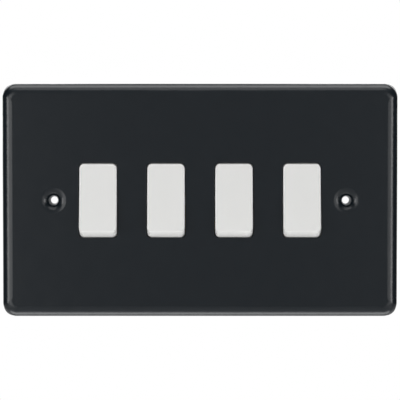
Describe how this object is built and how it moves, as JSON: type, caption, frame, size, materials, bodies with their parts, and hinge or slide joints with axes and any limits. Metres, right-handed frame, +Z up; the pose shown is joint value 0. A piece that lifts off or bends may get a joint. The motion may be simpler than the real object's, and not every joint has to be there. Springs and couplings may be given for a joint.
{
  "type": "grid light switch",
  "caption": "Flush double-size black pressed-metal plate with a row of white rocker switches, each a two-way module with see-saw contact, snapped into a steel grid yoke",
  "frame": {"origin": "centre of the plate's rim on the wall plane", "axes": "+X right and the plate's long side, +Y into the wall, +Z up; the rockers face -Y"},
  "size_m": [0.146, 0.0316, 0.086],
  "materials": {
    "plate_finish": "matt black powder coat",
    "rocker_white": "white satin urea moulding",
    "cover_moulding": "white fine-textured moulding",
    "base_moulding": "pale grey fine-textured moulding",
    "zinc_steel": "bright zinc plate",
    "brass": "machined brass",
    "spring_steel": "bright drawn spring wire",
    "silver_contact": "silver contact facing"
  },
  "bodies": {
    "switch_frame": {"front_plate": "plate_finish", "grid_yoke": "zinc_steel", "earth_terminal": "brass", "earth_screw": "zinc_steel", "terminal_screws": "zinc_steel", "module_rivets": "zinc_steel", "fixed_tips": "silver_contact", "module_cover_1": "cover_moulding", "module_base_1": "base_moulding", "common_terminal_1": "brass", "line_1_terminal_1": "brass", "line_2_terminal_1": "brass", "module_cover_2": "cover_moulding", "module_base_2": "base_moulding", "common_terminal_2": "brass", "line_1_terminal_2": "brass", "line_2_terminal_2": "brass", "module_cover_3": "cover_moulding", "module_base_3": "base_moulding", "common_terminal_3": "brass", "line_1_terminal_3": "brass", "line_2_terminal_3": "brass", "module_cover_4": "cover_moulding", "module_base_4": "base_moulding", "common_terminal_4": "brass", "line_1_terminal_4": "brass", "line_2_terminal_4": "brass"},
    "rocker_body_1": {"rocker_1": "rocker_white", "plunger_spring_1": "spring_steel"},
    "plunger_body_1": {"plunger_1": "brass"},
    "contact_body_1": {"moving_contact_1": "brass", "moving_tips_1": "silver_contact"},
    "rocker_body_2": {"rocker_2": "rocker_white", "plunger_spring_2": "spring_steel"},
    "plunger_body_2": {"plunger_2": "brass"},
    "contact_body_2": {"moving_contact_2": "brass", "moving_tips_2": "silver_contact"},
    "rocker_body_3": {"rocker_3": "rocker_white", "plunger_spring_3": "spring_steel"},
    "plunger_body_3": {"plunger_3": "brass"},
    "contact_body_3": {"moving_contact_3": "brass", "moving_tips_3": "silver_contact"},
    "rocker_body_4": {"rocker_4": "rocker_white", "plunger_spring_4": "spring_steel"},
    "plunger_body_4": {"plunger_4": "brass"},
    "contact_body_4": {"moving_contact_4": "brass", "moving_tips_4": "silver_contact"}
  },
  "joints": [
    {"name": "rocker_hinge_1", "type": "hinge", "parent": "switch_frame", "child": "rocker_body_1", "pos_m": [-0.0375, 0.00032, 0], "axis": [1, 0, 0], "range_deg": [0, 16]},
    {"name": "contact_hinge_1", "type": "hinge", "parent": "switch_frame", "child": "contact_body_1", "pos_m": [-0.0375, 0.0091, 0], "axis": [1, 0, 0], "range_deg": [-16, 0]},
    {"name": "plunger_slide_1", "type": "slide", "parent": "rocker_body_1", "child": "plunger_body_1", "axis": [0, -0.9903, 0.1392], "range_m": [0, 0.0006], "stiffness_N_per_m": 800, "deforming": ["plunger_spring_1"]},
    {"name": "rocker_hinge_2", "type": "hinge", "parent": "switch_frame", "child": "rocker_body_2", "pos_m": [-0.0125, 0.00032, 0], "axis": [1, 0, 0], "range_deg": [0, 16]},
    {"name": "contact_hinge_2", "type": "hinge", "parent": "switch_frame", "child": "contact_body_2", "pos_m": [-0.0125, 0.0091, 0], "axis": [1, 0, 0], "range_deg": [-16, 0]},
    {"name": "plunger_slide_2", "type": "slide", "parent": "rocker_body_2", "child": "plunger_body_2", "axis": [0, -0.9903, 0.1392], "range_m": [0, 0.0006], "stiffness_N_per_m": 800, "deforming": ["plunger_spring_2"]},
    {"name": "rocker_hinge_3", "type": "hinge", "parent": "switch_frame", "child": "rocker_body_3", "pos_m": [0.0125, 0.00032, 0], "axis": [1, 0, 0], "range_deg": [0, 16]},
    {"name": "contact_hinge_3", "type": "hinge", "parent": "switch_frame", "child": "contact_body_3", "pos_m": [0.0125, 0.0091, 0], "axis": [1, 0, 0], "range_deg": [-16, 0]},
    {"name": "plunger_slide_3", "type": "slide", "parent": "rocker_body_3", "child": "plunger_body_3", "axis": [0, -0.9903, 0.1392], "range_m": [0, 0.0006], "stiffness_N_per_m": 800, "deforming": ["plunger_spring_3"]},
    {"name": "rocker_hinge_4", "type": "hinge", "parent": "switch_frame", "child": "rocker_body_4", "pos_m": [0.0375, 0.00032, 0], "axis": [1, 0, 0], "range_deg": [0, 16]},
    {"name": "contact_hinge_4", "type": "hinge", "parent": "switch_frame", "child": "contact_body_4", "pos_m": [0.0375, 0.0091, 0], "axis": [1, 0, 0], "range_deg": [-16, 0]},
    {"name": "plunger_slide_4", "type": "slide", "parent": "rocker_body_4", "child": "plunger_body_4", "axis": [0, -0.9903, 0.1392], "range_m": [0, 0.0006], "stiffness_N_per_m": 800, "deforming": ["plunger_spring_4"]}
  ],
  "couplings": [
    {"joint": "contact_hinge_1", "follows": "rocker_hinge_1", "ratio": -1},
    {"joint": "contact_hinge_2", "follows": "rocker_hinge_2", "ratio": -1},
    {"joint": "contact_hinge_3", "follows": "rocker_hinge_3", "ratio": -1},
    {"joint": "contact_hinge_4", "follows": "rocker_hinge_4", "ratio": -1}
  ]
}
